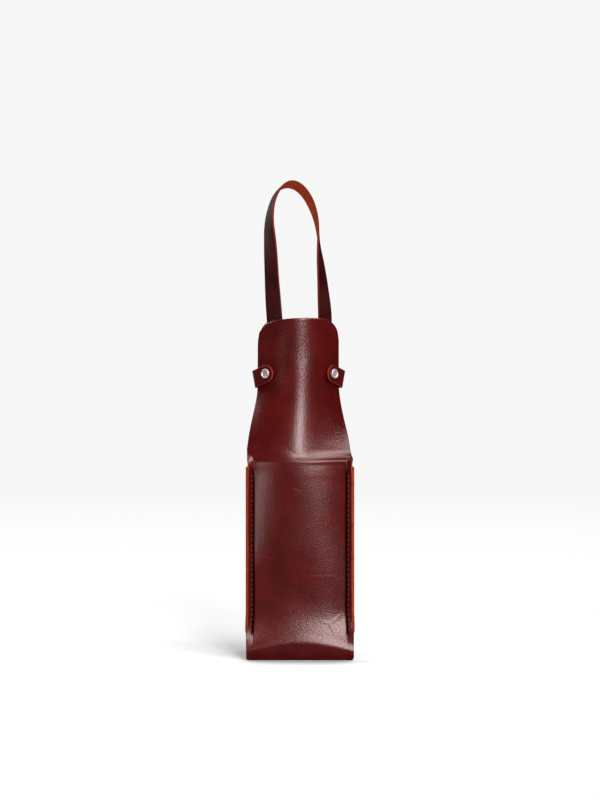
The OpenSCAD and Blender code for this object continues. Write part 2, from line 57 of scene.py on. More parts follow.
# the tabs and the press studs
TAB_W, TAB_REACH, TAB_END_R, TAB_RISE = 16.5, 17.0, 8.5, 19.0
STUD_Z, STUD_ANGLE, SNAP_D, CAP_H, SOCKET_H, FLANGE = 283.5, 42.5, 9.8, 1.4, 2.5, 0.75
METAL_GAP, SKIN_GAP = 0.05, 0.3
# the strap and its rivets
STRAP_W, STRAP_T, LEG_SPAN, TOP_Z, ARCH_H = 17.0, 2.0, 52.0, 480.0, 50.0
LOOP_BACK, LOOP_SIDE, LOOP_TURN = 21.0, 9.0, 10.0
SWING_Z, SWING_X, SWING_Y, SWING_TURN = 350.0, 1.0, 0.0, 8.0
RIVET_Z, RIVET_SPAN, RIVET_PITCH, RIVET_D, RIVET_H = 236.0, 43.0, 16.0, 8.0, 1.5
# the stitches
PITCH, STITCH, THREAD, STITCH_IN = 4.9, 3.7, 0.8, 1.6

LEVEL_Z = STUD_Z + TAB_W  # above it the flaps keep one section
MM = 0.001
SECTION_STEPS = 900
SIDES = ((-1, "left"), (1, "right"))
FACES = ((-1, "front"), (1, "back"))
rng = np.random.default_rng(7)


def smooth(t):
    c = np.clip(t, 0, 1)
    return c * c * (3 - 2 * c)


def mix(a, b, t):
    return a + (b - a) * t


def unit(v):
    v = np.asarray(v, float)
    return v / np.linalg.norm(v, axis=-1, keepdims=True)


def turned(p, degrees):
    """Points turned about Z."""
    a = np.radians(degrees)
    p = np.asarray(p, float)
    x = p[..., 0] * np.cos(a) - p[..., 1] * np.sin(a)
    y = p[..., 0] * np.sin(a) + p[..., 1] * np.cos(a)
    return np.stack([x, y, p[..., 2]], -1)


def moved(p, share):
    """Points with a share of the neck's turn and shift."""
    return turned(p, NECK_TURN * share) - np.stack([NECK_SHIFT * share, 0 * share, 0 * share], -1)


def square_to(v, t):
    """The part of v that is square to t, as unit vectors."""
    v, t = np.asarray(v, float), np.asarray(t, float)
    return unit(v - t * np.sum(v * t, -1, keepdims=True))


def lengths_along(points):
    steps = np.linalg.norm(np.diff(points, axis=0), axis=1)
    return np.concatenate([[0], np.cumsum(steps)])


# Form of the strip at height z
def neck_share(z):
    return (z - SHOULDER) / (NECK_Z - SHOULDER)


def belly_share(z):
    return smooth((z - FLAT_BAND) / (BELLY_Z - FLAT_BAND))


def core_angle(z):
    """How far the strip turns between its middle and a seam."""
    low = np.maximum(0.01, BELLY_ANGLE * belly_share(z))
    return np.where(z < SHOULDER, low, mix(BELLY_ANGLE, NECK_ANGLE, smooth(neck_share(z))))


def margin_angle(z):
    low = SEAM_TURN * belly_share(z)
    return mix(low, -core_angle(z), smooth((z - GUSSET_TOP) / FADE))


def core_half(z):
    """Half the strip's width between the seams."""
    pouch_w = mix(STRIP_W, PANEL_W, belly_share(z))
    return mix(pouch_w, NECK_W, smooth(neck_share(z))) / 2 - MARGIN


def ridge_y(z):
    """Distance of the strip's middle from the carrier's middle plane."""
    t = np.clip(neck_share(z), 0, 1)
    low = POUCH_D / 2 + BELLY_OUT * belly_share(z) * smooth((SHOULDER - z) / FADE)
    return np.where(z < SHOULDER, low, mix(POUCH_D, NECK_D, 1 - (1 - t) ** 2) / 2)


def section(z, u, depth, round_w=1.1):
    """Points of one section at u along it and a depth below the grain.

    The direction angle along the strip is integrated, so that the folds are round.
    """
    z = float(z)
    a, m, c = float(core_angle(z)), float(margin_angle(z)), float(core_half(z))
    s = np.linspace(0, c + MARGIN + 2, SECTION_STEPS)
    fold = smooth((s - c + round_w) / (2 * round_w))
    theta = np.radians(mix(a * np.minimum(s, c) / c, -m, fold))
    step = s[1] - s[0]
    x = np.concatenate([[0], np.cumsum((np.cos(theta[1:]) + np.cos(theta[:-1])) / 2) * step])
    y = np.concatenate([[0], np.cumsum((np.sin(theta[1:]) + np.sin(theta[:-1])) / 2) * step])
    k = np.abs(u)
    t = np.interp(k, s, theta)
    px = np.interp(k, s, x) - depth * np.sin(t)
    py = np.interp(k, s, y) + depth * np.cos(t)
    return np.stack([np.where(u < 0, -px, px), py], -1)


def panel(side, z, u, depth):
    """Points of the front (-1) or the back (1) at heights z."""
    z, u, depth = (np.asarray(q, float) for q in (z, u, depth))
    z, u, depth = np.broadcast_arrays(z, u, depth)
    out = np.zeros(z.shape + (3,))
    for height in np.unique(z):
        at = z == height
        p = section(height, u[at], depth[at])
        y = side * (float(ridge_y(height)) - p[:, 1])
        q = np.stack([p[:, 0], y, np.full(len(p), height)], -1)
        out[at] = moved(q, float(smooth(neck_share(height))) * np.ones(len(p)))
    return out


# Mesh helpers
def mesh(name, verts_mm, faces, mats, face_mats=None):
    data = bpy.data.meshes.new(name)
    data.from_pydata([tuple(v) for v in np.asarray(verts_mm) * MM], [], [tuple(f) for f in faces])
    for m in mats:
        data.materials.append(m)
    if face_mats is not None:
        data.polygons.foreach_set("material_index", np.asarray(face_mats, np.int32))
    data.polygons.foreach_set("use_smooth", np.full(len(data.polygons), True))
    data.update()
    o = bpy.data.objects.new(name, data)
    bpy.context.scene.collection.objects.link(o)
    return o


def attribute(o, name, values):
    a = o.data.attributes.new(name, "FLOAT", "POINT")
    a.data.foreach_set("value", np.asarray(values, np.float32).ravel())


def loft(rings, loop_mats, end_mats=(0, 0)):
    """Quads through closed rings of points, with caps: vertices, faces and a material for each."""
    rings = np.asarray(rings, float)
    n, m = rings.shape[:2]
    i, j = np.meshgrid(np.arange(n - 1), np.arange(m), indexing="ij")
    k = (j + 1) % m
    quads = np.stack([i * m + j, i * m + k, (i + 1) * m + k, (i + 1) * m + j], -1).reshape(-1, 4)
    mats = list(np.asarray(loop_mats)[j.ravel()]) + list(end_mats)
    faces = [list(q) for q in quads]
    faces += [list(range(m))[::-1], [(n - 1) * m + q for q in range(m)]]
    return rings.reshape(-1, 3), faces, mats


def tube(points, radii, sides=8):
    """Vertices and faces of a capped tube along points."""
    p = np.asarray(points, float)
    t = unit(np.gradient(p, axis=0))
    ref = np.array([0.0, 1.0, 0.0]) if abs(t[0][1]) < 0.9 else np.array([1.0, 0, 0])
    a = square_to(np.tile(ref, (len(p), 1)), t)[:, None]
    b = np.cross(t, a[:, 0])[:, None]
    f = (np.arange(sides) * 2 * math.pi / sides)[None, :, None]
    rings = p[:, None] + np.asarray(radii, float)[:, None, None] * (np.cos(f) * a + np.sin(f) * b)
    return loft(rings, [0] * sides)[:2]


def lathe(profile, steps=72):
    """Vertices and faces of a profile of (radius, height) turned about Z."""
    pr = np.asarray(profile, float)
    r, z = pr[:, None, 0], np.repeat(pr[:, 1:2], steps, 1)
    f = np.arange(steps) * 2 * math.pi / steps
    return loft(np.stack([r * np.cos(f), r * np.sin(f), z], -1), [0] * steps)[:2]


def joined(parts):
    verts, faces, at = [], [], 0
    for v, f in parts:
        verts.append(v)
        faces += [[q + at for q in face] for face in f]
        at += len(v)
    return np.concatenate(verts), faces


def in_frame(v, place, x, y, z):
    v = np.asarray(v, float)
    return np.asarray(place) + v[:, :1] * x + v[:, 1:2] * y + v[:, 2:] * z


def rounded(points, radius, steps, share):
    """A line with its inner corners rounded, over at most a share of the sides next to each."""
    p = [np.asarray(q, float) for q in points]
    out = [p[0]]
    for a, b, c in zip(p, p[1:], p[2:]):
        k = min(radius, np.linalg.norm(b - a) * share, np.linalg.norm(c - b) * share)
        start, end = b + unit(a - b) * k, b + unit(c - b) * k
        for t in np.linspace(0, 1, steps):
            out.append(start * (1 - t) ** 2 + b * 2 * t * (1 - t) + end * t * t)
    return np.array(out + [p[-1]])


EDGE_SHARE = np.array([0.15, 0.5, 0.85])[:, None]
EDGE_LIFT = np.array([0.14, 0.22, 0.14])[:, None]


def cut_edge(a, b, away, lift=EDGE_LIFT):
    """Three points of a cut edge from a to b, which stands a little proud."""
    return a + (b - a) * EDGE_SHARE + away * lift


def band_mats(n, first=0, last=1):
    """Materials round a band's ring: a face of n points, an edge, the other face, an edge."""
    return [first] * (n - 1) + [2] * 4 + [last] * (n - 1) + [2] * 4


# Materials
def feed(t, socket, value):
    if isinstance(value, bpy.types.NodeSocket):
        t.links.new(value, socket)
    else:
        socket.default_value = value


def node(t, kind, inputs=None, **settings):
    """A new node with its settings. Each input gets a value or the socket that feeds it."""
    n = t.nodes.new("ShaderNode" + kind)
    for key, value in settings.items():
        setattr(n, key, value)
    for key, value in (inputs or {}).items():
        feed(t, n.inputs[key], value)
    return n


def grey(v):
    return v, v, v


def empty_tree(owner):
    owner.use_nodes = True
    owner.node_tree.nodes.clear()
    return owner.node_tree


def principled(name):
    m = bpy.data.materials.new(name)
    t = empty_tree(m)
    b = node(t, "BsdfPrincipled")
    node(t, "OutputMaterial", {0: b.outputs[0]})
    return m, t, b


def noise(t, coord, scale, detail=4.0, rough=0.55, stretch=None):
    if stretch is not None:
        coord = node(t, "Mapping", {0: coord, "Scale": stretch}).outputs[0]
    inputs = {"Scale": scale, "Detail": detail, "Roughness": rough, "Vector": coord}
    return node(t, "TexNoise", inputs).outputs["Fac"]


def warped(t, coord, scale, detail, amount):
    """Coordinates pushed about by a noise."""
    push = node(t, "TexNoise", {"Vector": coord, "Scale": scale, "Detail": detail})
    inputs = {0: push.outputs["Color"], 1: grey(amount), 2: coord}
    return node(t, "VectorMath", inputs, operation="MULTIPLY_ADD").outputs[0]


def ramp(t, fac, stops):
    r = node(t, "ValToRGB", {0: fac})
    while len(r.color_ramp.elements) < len(stops):
        r.color_ramp.elements.new(0.5)
    for e, (place, colour) in zip(r.color_ramp.elements, stops):
        e.position = place
        e.color = (*colour, 1)
    return r.outputs[0]


def bump(t, height, strength, distance, below=None):
    b = node(t, "Bump", {"Strength": strength, "Distance": distance, "Height": height})
    if below is not None:
        feed(t, b.inputs["Normal"], below)
    return b.outputs[0]


def mixed_colour(t, fac, a, b):
    m = node(t, "Mix", {0: fac}, data_type="RGBA")
    for value, socket in ((a, m.inputs[6]), (b, m.inputs[7])):
        feed(t, socket, (*value, 1) if isinstance(value, tuple) else value)
    return m.outputs[2]


# painted shade: the colour put deep in the seams' grooves
GROOVE_SHADE_TONE = (0.012, 0.0006, 0.0006)
UNDER_TINT = (1, 0.33, 0.30, 1)  # the dye colours the reflection below the clear coat


def grain_leather(name, dark, mid, worn, rough, lines, specular, coat):
    """Mottled oxblood leather with a pebbled grain and thin creases.

    It is lighter where the crease attribute says that it is bent. Deep in the seams' grooves it is
    painted dark and dull, as their shade, with their highlight taken out. Its lengths are in
    metres.
    """
    m, t, b = principled(name)
    c = node(t, "TexCoord").outputs["Object"]
    tone = ramp(t, noise(t, c, 38, 5, 0.6), [(0.3, dark), (0.7, mid)])
    pebble = {"Scale": 760, "Smoothness": 0.5, "Vector": warped(t, c, 300, 2, 0.0016)}
    pebbles = node(t, "TexVoronoi", pebble, feature="SMOOTH_F1").outputs["Distance"]
    # thin creases: the borders of large, flat, warped cells, shown only in patches
    flat = node(t, "Mapping", {0: warped(t, c, 55, 4, 0.022), "Scale": (0.55, 0.55, 1.5)})
    cell = {"Scale": 42, "Vector": flat.outputs[0]}
    border = node(t, "TexVoronoi", cell, feature="DISTANCE_TO_EDGE").outputs["Distance"]
    line = ramp(t, border, [(0.0, grey(1)), (0.035, grey(0))])
    patch = ramp(t, noise(t, c, 24, 2), [(0.55, grey(0)), (0.72, grey(lines))])
    masked = node(t, "Mix", {0: 1, 6: line, 7: patch}, data_type="RGBA", blend_type="MULTIPLY")
    creases = masked.outputs[2]
    bent = node(t, "Attribute", attribute_name="crease").outputs["Fac"]
    pulled = node(t, "Math", {0: creases, 1: 0.35, 2: bent}, operation="MULTIPLY_ADD").outputs[0]
    # the groove attribute paints shade in the seams' grooves: darker colour, less specular and coat
    groove = node(t, "Attribute", attribute_name="groove").outputs["Fac"]
    colour = mixed_colour(t, groove, mixed_colour(t, pulled, tone, worn), GROOVE_SHADE_TONE)
    feed(t, b.inputs["Base Color"], colour)
    feed(t, b.inputs["Roughness"],
         ramp(t, noise(t, c, 120, 3), [(0.3, grey(rough + 0.05)), (0.7, grey(rough + 0.12))]))
    for socket, level in (("Specular IOR Level", specular), ("Coat Weight", coat)):
        shine = node(t, "MapRange", {"To Min": level, "To Max": 0.0, "Value": groove})
        feed(t, b.inputs[socket], shine.outputs[0])
    b.inputs["Specular Tint"].default_value = UNDER_TINT
    b.inputs["Coat Roughness"].default_value = rough
    relief = bump(t, pebbles, 0.42, 0.00022)
    relief = bump(t, noise(t, c, 1200, 2, 0.6), 0.7, 0.00013, relief)
    relief = bump(t, noise(t, c, 45, 2, 0.5), 0.06, 0.0016, relief)
    relief = bump(t, creases, 0.4, 0.00022, relief)
    feed(t, b.inputs["Normal"], relief)
    feed(t, b.inputs["Coat Normal"], relief)
    return m


def raw_leather(name, dark, light, scale, rough, stretch=None, distance=0.0004):
    """Cut edges and the flesh side."""
    m, t, b = principled(name)
    c = node(t, "TexCoord").outputs["Object"]
    f = noise(t, c, scale, 5, 0.65, stretch)
    feed(t, b.inputs["Base Color"], ramp(t, f, [(0.3, dark), (0.72, light)]))
    feed(t, b.inputs["Normal"], bump(t, f, 0.5, distance))
    b.inputs["Roughness"].default_value = rough
    b.inputs["Specular IOR Level"].default_value = 0.08
    return m


def metal(name, colour, rough):
    m, t, b = principled(name)
    c = node(t, "TexCoord").outputs["Object"]
    stops = [(0.3, grey(rough - 0.05)), (0.7, grey(rough + 0.07))]
    feed(t, b.inputs["Roughness"], ramp(t, noise(t, c, 900, 3), stops))
    b.inputs["Base Color"].default_value = (*colour, 1)
    b.inputs["Metallic"].default_value = 0.8
    return m


GRAIN = grain_leather("grain_leather", (0.042, 0.0004, 0.0004), (0.076, 0.0010, 0.0008),
                      (0.15, 0.010, 0.007), rough=0.25, lines=0.6, specular=0.26, coat=1.0)
STRAP_GRAIN = grain_leather("strap_leather", (0.014, 0.0004, 0.0008), (0.033, 0.0012, 0.0016),
                            (0.07, 0.007, 0.005), rough=0.34, lines=0.3, specular=0.3, coat=0.35)
UPRIGHT = (1, 1, 0.35)  # the fibres of a cut edge run along it
FLESH = raw_leather("flesh_side", (0.19, 0.018, 0.002), (0.38, 0.040, 0.004), 260, 0.85,
                    distance=0.0005)
STRAP_EDGE = raw_leather("strap_edge", (0.06, 0.006, 0.002), (0.17, 0.020, 0.005), 700, 0.75,
                         UPRIGHT)
EDGE = raw_leather("cut_edge", (0.10, 0.012, 0.003), (0.34, 0.050, 0.009), 700, 0.75, UPRIGHT)
BAND = [GRAIN, FLESH, EDGE]
WAXED, _, waxed_shader = principled("waxed_thread")
waxed_shader.inputs["Base Color"].default_value = (0.09, 0.007, 0.010, 1)
waxed_shader.inputs["Roughness"].default_value = 0.55
NICKEL = metal("nickel", (0.78, 0.64, 0.64), 0.45)

# Creases and waves of the leather
# Each crease: its points (u, z) on the panel, its depth (positive stands proud), its width, and
# how much its colour is pulled up
FRONT_CREASES = [
    ([(2, 195.4), (24, 196.6), (52, 197.8)], 0.28, 1.8, 0.12),
    ([(-52, 196.6), (-30, 196.6), (-10, 195.2)], 0.12, 2.4, 0.05),
    ([(-53, 200), (-50, 193), (-46, 185)], 0.35, 1.6, 0.1),
    ([(-10, 171), (-5, 168), (1, 165)], 0.16, 1.1, 0.3),
    ([(-42, 103), (-33, 101), (-24, 99)], 0.14, 1.1, 0.3),
    ([(2, 84), (16, 82), (30, 82.5), (44, 80)], 0.13, 1.0, 0.28),
    ([(20, 39), (30, 36), (34, 27)], 0.18, 1.0, 0.3),
    ([(30, 36), (42, 44)], 0.16, 1.0, 0.3),
    ([(-36, 60), (-22, 57.5)], 0.12, 1.0, 0.15),
    ([(14, 232), (28, 221), (40, 217)], -0.18, 5.0, 0.0),
]
BACK_CREASES = [
    ([(-50, 196), (-20, 195.5), (18, 196.4), (50, 197)], 0.35, 1.8, 0.4),
    ([(-30, 120), (-10, 117), (8, 118)], 0.3, 1.5, 0.4),
    ([(12, 70), (34, 66)], 0.3, 1.4, 0.4),
    ([(-42, 40), (-30, 33)], 0.3, 1.4, 0.4),
]
# each wave: how fast it runs across and up, its phase and its height
WAVES = [(rng.uniform(0.02, 0.06), rng.uniform(0.015, 0.05), rng.uniform(0, 6.3),
          rng.uniform(0.05, 0.13)) for _ in range(9)]


def crease_at(u, z, creases):
    """Height and pulled-up colour of the creases, for arrays of u and z."""
    height, colour = np.zeros(u.shape), np.zeros(u.shape)
    for points, depth, width, pull in creases:
        d = np.full(u.shape, 1e9)
        along = np.zeros(u.shape)
        total = len(points) - 1
        for k in range(total):
            a, b = np.array(points[k], float), np.array(points[k + 1], float)
            v = b - a
            t = np.clip(((u - a[0]) * v[0] + (z - a[1]) * v[1]) / (v @ v), 0, 1)
            q = np.hypot(u - a[0] - t * v[0], z - a[1] - t * v[1])
            along = np.where(q < d, (k + t) / total, along)
            d = np.minimum(d, q)
        taper = np.minimum(1, 4 * along * (1 - along) + 0.15)
        line = np.exp(-(d / width) ** 2) * taper
        lip = np.exp(-((d - 2.2 * width) / (1.3 * width)) ** 2) * taper
        height += depth * (line - 0.35 * lip)
        colour = np.maximum(colour, pull * np.exp(-(d / (0.8 * width)) ** 2) * taper)
    return height, colour


def waves_at(u, z, side):
    h = np.zeros(u.shape)
    for k, (fast_u, fast_z, phase, high) in enumerate(WAVES):
        across = fast_u * u * (1 if k % 2 else -1)
        h += high * np.sin(across + fast_z * z * 2 + phase + side * 1.7)
    return h * smooth((z - 4) / 30)


def curve(x, knots):
    """A smooth curve through (x, y) knots."""
    kx, ky = np.array(knots, float).T
    m = np.gradient(ky, kx)
    i = np.clip(np.searchsorted(kx, x) - 1, 0, len(kx) - 2)
    w = kx[i + 1] - kx[i]
    t = np.clip((x - kx[i]) / w, 0, 1)
    left = ky[i] * (1 + 2 * t) * (1 - t) ** 2 + m[i] * w * t * (1 - t) ** 2
    return left + ky[i + 1] * t * t * (3 - 2 * t) + m[i + 1] * w * t * t * (t - 1)


# the middle of the empty pouch: height above the flat band, and how far the panel stands out
SAG = [(0, 1.5), (3, 0.8), (8, -0.9), (15, -3.0), (25, -5.2), (36, -6.1), (52, -6.0), (72, -5.2),
       (100, -3.5), (130, -1.6), (160, -0.3), (180, 0), (400, 0)]
BAND_MID, BAND_DROP, BAND_HALF, BAND_OUT = 17.5, 7.5, 50, 1.5
# the seams hold the panel up at its sides, and its right half sinks in less
STIFF_RISE, STIFF_U, STIFF_POWER = 12, 48, 2.2
SHALLOW_SHARE, SHALLOW_U, SHALLOW_FADE = 0.3, 5, 45


def belly(u, z):
    """Over the base a flat band stands out, and the empty pouch sinks in above that."""
    arch = BAND_MID - BAND_DROP * (u / BAND_HALF) ** 2
    d = z - arch
    fade = 1 - smooth(d / STIFF_RISE) * np.minimum(1, np.abs(u / STIFF_U)) ** STIFF_POWER
    above = curve(np.maximum(0, d), SAG) * fade
    shallow = 1 - SHALLOW_SHARE * smooth((u + SHALLOW_U) / SHALLOW_FADE)
    above = np.where(above < 0, above * shallow, above)
    below = BAND_OUT * np.sqrt(np.clip((z - FOLD_R) / (arch - FOLD_R), 0, 1))
    return np.where(d > 0, above, below)


RIDGE_H, RIDGE_U, RIDGE_W, RIDGE_END = 1.15, -1, 16.0, 320
TURN_H, TURN_W, TURN_END = 3.2, 26.0, 275
RISE_START, RISE, END_FADE = 0.5, 13, 60  # start below the shoulder, and lengths of the fades
HOLLOW_SHARE, HOLLOW_ROUND, HOLLOW_W = 0.05, 60, 50


def ridge(side, u, z):
    """A soft upright ridge in the middle of the front flap, and the flap's turn to the right."""
    if side > 0:
        return 0 * u
    rise = smooth((z - SHOULDER + RISE_START) / RISE)
    hollow = HOLLOW_SHARE * (np.sqrt(u * u + HOLLOW_ROUND) - np.abs(u) ** 2 / HOLLOW_W)
    turn = -(TURN_H * np.tanh(u / TURN_W) + hollow) * rise * smooth((TURN_END - z) / END_FADE)
    middle = RIDGE_H * np.exp(-((u - RIDGE_U) / RIDGE_W) ** 2)
    return turn + middle * rise * smooth((RIDGE_END - z) / END_FADE)


SHOULDER_OUT, SHOULDER_RISE = 1.4, 18
# heights over which the panel falls in: at the front's right, more at its left, and at the back
FALL_RIGHT, FALL_MORE, FALL_U, FALL_W, FALL_BACK = 4.5, 14, 8, 36, 12


def shoulder(side, u, z):
    """The panel is full up to the crease and falls in above it, fastest on the front's right."""
    fall = FALL_RIGHT + FALL_MORE * smooth((FALL_U - u) / FALL_W) if side < 0 else FALL_BACK
    low, high = 1 - smooth((SHOULDER - z) / SHOULDER_RISE), 1 - smooth((z - SHOULDER) / fall)
    return SHOULDER_OUT * np.where(z < SHOULDER, low, high)


def grid_normals(points):
    return unit(np.cross(np.gradient(points, axis=1), np.gradient(points, axis=0)))


# The strip, from the front flap to the back flap
CORE = np.concatenate([np.linspace(0, 0.9, 44), np.linspace(0.9, 1, 10)[1:]])
EDGE_SHARES = np.array([0.08, 0.17, 0.27, 0.4, 0.52, 0.64, 0.76, 0.87, 0.95, 1.0])
# the front flap's worn upper edge: its height at places across the flap
FRONT_TOP_U = [-49.3, -48.8, -47.5, -43, -38.5, -34.7, -27, -19.5, -8, 5, 18.7, 26, 31.8, 36.8,
               42.2, 46.3, 48.4, 49.3]
FRONT_TOP_Z = [313, 321, 325, 328.6, 331.8, 334.2, 336.2, 337.2, 338.2, 338.8, 338.7, 338.2, 337.0,
               334.9, 331.6, 327.4, 322.8, 314]
BACK_LOW, BACK_CORNER_W, BACK_CORNER_H = 1.0, 24, 26
TOP_STEPS, TOP_SPREAD = 400, 13
FOOT_IN, FOOT_Z = 2.2, 3.2


def flap_top(side, u):
    """Height of a flap's upper edge: worn and uneven on the front, even on the back."""
    if side > 0:
        over = np.maximum(0, np.abs(u) - NECK_W / 2 + BACK_CORNER_W) * BACK_CORNER_H / BACK_CORNER_W
        corner = BACK_CORNER_H - np.sqrt(np.maximum(0, BACK_CORNER_H ** 2 - over ** 2))
        return FLAP_TOP - BACK_LOW - ARCH * (np.abs(u) / (NECK_W / 2)) ** 2 - corner
    fine = np.linspace(FRONT_TOP_U[0], FRONT_TOP_U[-1], TOP_STEPS)
    z = np.interp(fine, FRONT_TOP_U, FRONT_TOP_Z)
    z = np.pad(z, TOP_SPREAD // 2, mode="edge")
    z = np.convolve(z, np.ones(TOP_SPREAD) / TOP_SPREAD, "valid")
    return np.interp(u, fine, z)


def columns(z):
    c = float(core_half(z))
    half = np.concatenate([CORE * c, c + MARGIN * EDGE_SHARES])
    return np.concatenate([-half[:0:-1], half])


def foot_in(z):
    """How far the strip's edges draw in as it turns under the base."""
    t = np.clip((FOOT_Z - z) / FOOT_Z, 0, 1)
    return FOOT_IN * (1 - np.sqrt(1 - t * t))


def panel_grid(side, depth):
    """Rows of one panel from its fold up to the flap's top, as points, u and z."""
    rows, us, zs = [], [], []
    for z in np.concatenate([np.linspace(FOLD_R, SHOULDER - 8, 125),
                             np.linspace(SHOULDER - 8, SHOULDER + 10, 25)[1:],
                             np.linspace(SHOULDER + 10, LEVEL_Z, 52)[1:]]):
        u = columns(z)
        rows.append(panel(side, z, u, depth))
        us.append(u)
        zs.append(np.full(len(u), z))
    u = columns(LEVEL_Z)
    p = section(LEVEL_Z, u, np.full(len(u), depth))
    y = side * (float(ridge_y(LEVEL_Z)) - p[:, 1])
    for s in np.linspace(0, 1, 26)[1:]:
        z = LEVEL_Z + s * (flap_top(side, u) - LEVEL_Z)
        rows.append(moved(np.stack([p[:, 0], y, z], -1), np.ones(len(u))))
        us.append(u)
        zs.append(z)
    return np.array(rows), np.array(us), np.array(zs)


FLAP_HALF = 49
TILT_Z, TILT_RISE, TILT_MID, TILT_MID_W, TILT_EDGE = 296, 50, 3.2, 27.0, 0.4


def flap_tilt(z, u):
    """How far the flaps lean out towards their tops."""
    out = TILT_MID * np.cos(u / TILT_MID_W) ** 2 + TILT_EDGE * (u / FLAP_HALF) ** 2
    return smooth((z - TILT_Z) / TILT_RISE) * out


SEAM_PULL, SEAM_PULL_W, PULL_START, PULL_FADE = 0.10, 2.0, SEAM_LOW + 1, 6
# where the painted groove shade lies: its half width at full strength, its falloff, and its fades
# at the ends
GROOVE_HALF, GROOVE_W, GROOVE_FADE = 1.0, 0.9, 8
GROOVE_LOW, GROOVE_TOP = SEAM_LOW - 5, GUSSET_TOP + 2


def strip_panel(side, creases):
    """Grain, flesh, crease colour and the painted shade of the seams' grooves, for one panel."""
    grain, u, z = panel_grid(side, 0.0)
    flesh = panel_grid(side, LEATHER)[0]
    n = grid_normals(grain)
    mid = n[len(n) // 2, n.shape[1] // 2]
    n = n * (1 if mid[1] * side > 0 else -1)
    h, colour = crease_at(u, z, creases)
    h = h + waves_at(u, z, side) + flap_tilt(z, u) + belly(u, z) + ridge(side, u, z)
    h = h + shoulder(side, u, z)
    # the stitches pull the leather in
    seam = np.exp(-((np.abs(u) - float(core_half(100))) / SEAM_PULL_W) ** 2)
    seam = seam * smooth((z - PULL_START) / PULL_FADE) * smooth((GUSSET_TOP - z) / PULL_FADE)
    h = h - SEAM_PULL * seam * (0.5 + 0.5 * np.cos(2 * math.pi * (z - SEAM_LOW) / PITCH))
    h = (h * smooth((z - FOLD_R) / 2))[..., None]
    # painted shade along the seams' grooves, strongest on the stitch line and fading away from it
    line = np.array([[float(core_half(q)) for q in row] for row in z[:, :1]])
    off_line = np.maximum(0, np.abs(np.abs(u) - line) - GROOVE_HALF)
    groove = np.exp(-(off_line / GROOVE_W) ** 2)
    groove = groove * smooth((z - GROOVE_LOW) / GROOVE_FADE)
    groove = groove * smooth((GROOVE_TOP - z) / GROOVE_FADE)
    return grain + n * h, flesh + n * h, colour, groove


def strip_base(depth):
    """Rows from the front fold under the base to the back fold."""
    u = columns(FOLD_R)
    flat = POUCH_D / 2 - FOLD_R

    def fold(side, a):
        r = FOLD_R - depth
        y = np.full(len(u), side * (flat + r * math.cos(a)))
        narrow = 1 - foot_in(FOLD_R - FOLD_R * math.sin(a)) / u[-1]
        return np.stack([u * narrow, y, np.full(len(u), FOLD_R - r * math.sin(a))], -1)

    quarter = np.linspace(0, math.pi / 2, 7)[1:]
    rows = [fold(-1, a) for a in quarter]
    for y in np.linspace(-flat, flat, 30)[1:-1]:
        x = u * (1 - FOOT_IN / u[-1])
        rows.append(np.stack([x, np.full(len(u), y), np.full(len(u), depth)], -1))
    return np.array(rows + [fold(1, a) for a in quarter[::-1]])


def build_strip():
    front, back = strip_panel(-1, FRONT_CREASES), strip_panel(1, BACK_CREASES)
    base = strip_base(0.0)
    plain = np.zeros(base.shape[:2])
    middles = (base, strip_base(LEATHER), plain, plain)
    outer, inner, pulled, grooved = (np.concatenate([a[::-1], b, c])
                                     for a, b, c in zip(front, middles, back))
    mid = (outer + inner) / 2
    share = np.array([0.12, 0.5, 0.88])[None, :, None]
    lift = np.array([0.18, 0.28, 0.18])[None, :, None]

    def rim(k, inward):
        away = unit(mid[:, k] - mid[:, inward])[:, None]
        a, b = outer[:, k][:, None], inner[:, k][:, None]
        return a + (b - a) * share + away * lift

    def round_ring(values):
        """An attribute of the grain, laid round the rings, with 0 on the edges and the flesh."""
        blank = np.zeros((len(outer), 3))
        ring = np.concatenate([values, blank, values * 0, blank], 1)
        ends = np.zeros((2, ring.shape[1]))
        return np.concatenate([ends, ring, ends])

    rings = np.concatenate([outer, rim(-1, -2), inner[:, ::-1], rim(0, 1)[:, ::-1]], 1)
    middle = np.concatenate([mid, np.repeat(mid[:, -1:], 3, 1), mid[:, ::-1],
                             np.repeat(mid[:, :1], 3, 1)], 1)
    ends = []
    for e, inward in ((0, 1), (-1, -2)):
        up = unit(middle[e] - middle[inward])
        ends.append((rings[e] * 0.75 + middle[e] * 0.25 + up * 0.2,
                     rings[e] * 0.05 + middle[e] * 0.95 + up * 0.3))
    rings = np.concatenate([ends[0][::-1], rings, ends[1]])
    v, f, m = loft(rings, band_mats(outer.shape[1]), (2, 2))
    loop = rings.shape[1]
    m = np.array(m)
    m[:2 * loop] = 2
    m[(len(rings) - 3) * loop:(len(rings) - 1) * loop] = 2
    o = mesh("leather_strip", v, f, BAND, m)
    attribute(o, "crease", round_ring(pulled))
    # the painted shade of the seams' grooves, for the material
    attribute(o, "groove", round_ring(grooved))
    return o


STRIP = build_strip()
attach(STRIP, "carrier")
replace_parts(STRIP, "body_strip")

# Gussets
WALL_IN, WALL_START, TIP_START = 1.2, 3.2, 0.9
WALL_SHARES = (0.12, 0.25, 0.38, 0.5)
TIP_LIFT = np.array([0.15, 0.25, 0.15])[:, None]
FOOT_LOW, FOOT_SIDE = 2.4, 0.4
RIPPLE, RIPPLE_ALONG, RIPPLE_UP, RIPPLE_FADE = 0.22, 11, 17, 12


